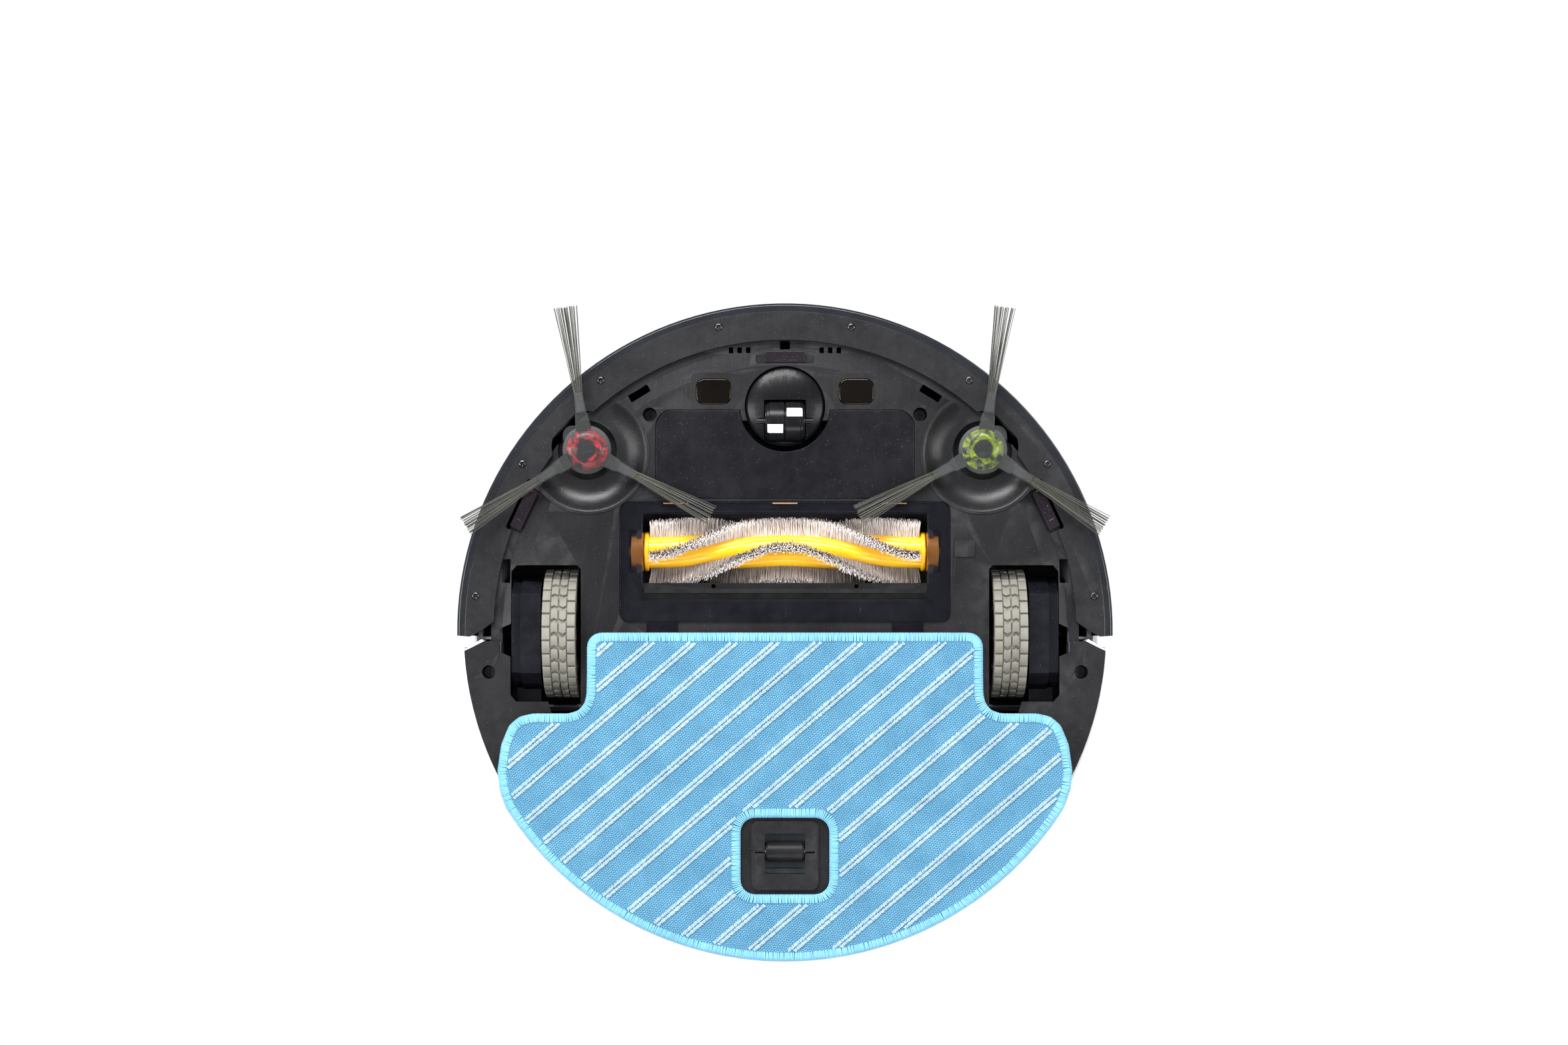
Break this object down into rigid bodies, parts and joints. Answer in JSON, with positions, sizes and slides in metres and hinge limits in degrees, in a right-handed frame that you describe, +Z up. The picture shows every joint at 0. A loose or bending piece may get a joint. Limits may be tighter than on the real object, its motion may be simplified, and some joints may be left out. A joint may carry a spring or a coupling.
{
  "type": "robot vacuum",
  "caption": "Round robot vacuum and mop with sprung bumper, spinning side and main brushes, sprung drive wheels, caster, lift-out dust bin and slide-out water tank with mop cloth.",
  "frame": {"origin": "on the floor under the centre of the round body", "axes": "+Y to the front (bumper and caster), +Z up, +X to the robot's right"},
  "size_m": [0.35, 0.3494, 0.098],
  "materials": {
    "base_black": "fine spark texture",
    "frame_grey": "plain moulded",
    "shell_white": "gloss",
    "cover_black": "smooth satin",
    "screw_steel": "plain zinc",
    "screw_black": "black oxide",
    "cell_wrap": "heat-shrink sleeve",
    "board_green": "solder mask",
    "contact_metal": "mirror plate",
    "lens_dark": "infrared clear",
    "motor_metal": "plain",
    "impeller_grey": "plain moulded",
    "rubber_black": "matt",
    "lens_black": "infrared clear gloss",
    "button_grey": "satin",
    "light_guide": "frosted",
    "bin_smoke": "smoky clear",
    "handle_grey": "satin",
    "filter_paper": "pleated",
    "bumper_gloss": "gloss blue-black",
    "bumper_black": "spark texture",
    "cover_smoke": "smoky clear",
    "core_yellow": "satin",
    "bristle_pale": "two-tone nylon",
    "bearing_orange": "clear tinted",
    "tyre_grey": "matt",
    "rim_black": "plain moulded",
    "gearbox_black": "gloss",
    "caster_black": "satin",
    "hub_clear": "clear",
    "side_bristle": "nylon",
    "coupler_red": "plain",
    "coupler_green": "plain",
    "cloth_blue": "knitted microfibre",
    "tank_smoke": "smoky clear"
  },
  "bodies": {
    "chassis": {"base_plate": "base_black", "mid_frame": "frame_grey", "wheel_housing_right": "frame_grey", "wheel_housing_left": "frame_grey", "bin_bay": "frame_grey", "top_cover": "shell_white", "base_screws": "screw_steel", "battery_cover": "cover_black", "battery_pack": "cell_wrap", "main_board": "board_green", "contact_bezels": "base_black", "charging_contact_right": "contact_metal", "charging_contact_left": "contact_metal", "cliff_window_front": "lens_dark", "cliff_window_right": "lens_dark", "cliff_window_left": "lens_dark", "side_brush_motors": "motor_metal", "brush_chamber": "frame_grey", "scraper_strip": "rubber_black", "brush_motor": "motor_metal", "fan_housing": "frame_grey", "lidar_base": "base_black", "lidar_cover": "shell_white", "status_ring": "light_guide", "main_brush_bearings": "bearing_orange", "suspension_pins": "screw_steel"},
    "bumper": {"bumper_skin": "bumper_gloss", "bumper_band": "bumper_black", "bumper_screws": "screw_black"},
    "brush_lid": {"brush_cover": "cover_smoke"},
    "main_brush": {"main_brush_core": "core_yellow", "main_brush_bristles": "bristle_pale"},
    "drive_right": {"drive_gearbox_right": "gearbox_black"},
    "drive_left": {"drive_gearbox_left": "gearbox_black"},
    "wheel_right": {"drive_tyre_right": "tyre_grey", "drive_rim_right": "rim_black"},
    "wheel_left": {"drive_tyre_left": "tyre_grey", "drive_rim_left": "rim_black"},
    "caster_fork": {"caster_dome": "caster_black", "caster_axle": "screw_black"},
    "caster_roll": {"caster_wheel": "rubber_black"},
    "side_brush_right": {"side_brush_hub_right": "hub_clear", "side_brush_bristles_right": "side_bristle", "side_brush_coupler_right": "coupler_red"},
    "side_brush_left": {"side_brush_hub_left": "hub_clear", "side_brush_bristles_left": "side_bristle", "side_brush_coupler_left": "coupler_green"},
    "mop_module": {"mop_plate": "cover_black", "mop_cloth": "cloth_blue", "water_tank": "tank_smoke", "tank_plug": "rubber_black", "rear_roller_pin": "screw_steel"},
    "rear_roll": {"rear_roller": "rubber_black"},
    "bin": {"dust_bin": "bin_smoke", "bin_lid": "shell_white", "bin_filter": "filter_paper"},
    "bin_bail": {"bin_handle": "handle_grey"},
    "laser_head": {"lidar_rotor": "lens_black"},
    "fan": {"fan_impeller": "impeller_grey"},
    "start_button": {"power_button": "button_grey"}
  },
  "joints": [
    {"name": "bumper_press", "type": "slide", "parent": "chassis", "child": "bumper", "axis": [0, -1, 0], "range_m": [0, 0.0035], "stiffness_N_per_m": 250, "springref_m": -0.004},
    {"name": "brush_lid_open", "type": "hinge", "parent": "chassis", "child": "brush_lid", "pos_m": [0, 0.0686, 0.0088], "axis": [1, 0, 0], "range_deg": [0, 100], "deforming": ["side_brush_bristles_right", "side_brush_bristles_left", "main_brush_bristles"]},
    {"name": "main_brush_spin", "type": "hinge", "parent": "chassis", "child": "main_brush", "pos_m": [0, 0.0425, 0.022], "axis": [1, 0, 0], "continuous": true},
    {"name": "drive_right_swing", "type": "hinge", "parent": "chassis", "child": "drive_right", "pos_m": [0.138, -0.041, 0.03], "axis": [-1, 0, 0], "range_deg": [0, 18], "stiffness_Nm_per_rad": 0.3, "springref_deg": 40.11},
    {"name": "drive_left_swing", "type": "hinge", "parent": "chassis", "child": "drive_left", "pos_m": [-0.138, -0.041, 0.03], "axis": [-1, 0, 0], "range_deg": [0, 18], "stiffness_Nm_per_rad": 0.3, "springref_deg": 40.11},
    {"name": "wheel_right_spin", "type": "hinge", "parent": "drive_right", "child": "wheel_right", "pos_m": [0.1197, -0.0013, 0.03475], "axis": [1, 0, 0], "continuous": true},
    {"name": "wheel_left_spin", "type": "hinge", "parent": "drive_left", "child": "wheel_left", "pos_m": [-0.1197, -0.0013, 0.03475], "axis": [1, 0, 0], "continuous": true},
    {"name": "caster_swivel", "type": "hinge", "parent": "chassis", "child": "caster_fork", "pos_m": [0, 0.1196, 0.03], "axis": [0, 0, 1], "continuous": true},
    {"name": "caster_spin", "type": "hinge", "parent": "caster_fork", "child": "caster_roll", "pos_m": [0, 0.1116, 0.0102], "axis": [1, 0, 0], "continuous": true},
    {"name": "side_brush_right_spin", "type": "hinge", "parent": "chassis", "child": "side_brush_right", "pos_m": [0.1055, 0.0966, 0.02], "axis": [0, 0, 1], "continuous": true},
    {"name": "side_brush_left_spin", "type": "hinge", "parent": "chassis", "child": "side_brush_left", "pos_m": [-0.1055, 0.0966, 0.02], "axis": [0, 0, 1], "continuous": true},
    {"name": "mop_slide", "type": "slide", "parent": "chassis", "child": "mop_module", "axis": [0, -1, 0], "range_m": [0, 0.12]},
    {"name": "rear_roller_spin", "type": "hinge", "parent": "mop_module", "child": "rear_roll", "pos_m": [0, -0.1167, 0.0055], "axis": [1, 0, 0], "continuous": true},
    {"name": "bin_lift", "type": "slide", "parent": "chassis", "child": "bin", "axis": [0, 0, 1], "range_m": [0, 0.09]},
    {"name": "bin_handle_lift", "type": "hinge", "parent": "bin", "child": "bin_bail", "pos_m": [0, -0.04, 0.0814], "axis": [1, 0, 0], "range_deg": [0, 90]},
    {"name": "laser_spin", "type": "hinge", "parent": "chassis", "child": "laser_head", "pos_m": [0, -0.104, 0.08], "axis": [0, 0, 1], "continuous": true},
    {"name": "fan_spin", "type": "hinge", "parent": "chassis", "child": "fan", "pos_m": [0, -0.082, 0.05], "axis": [0, 0, 1], "continuous": true},
    {"name": "start_press", "type": "slide", "parent": "chassis", "child": "start_button", "axis": [0, 0, -1], "range_m": [0, 0.001], "stiffness_N_per_m": 400, "springref_m": -0.001}
  ]
}
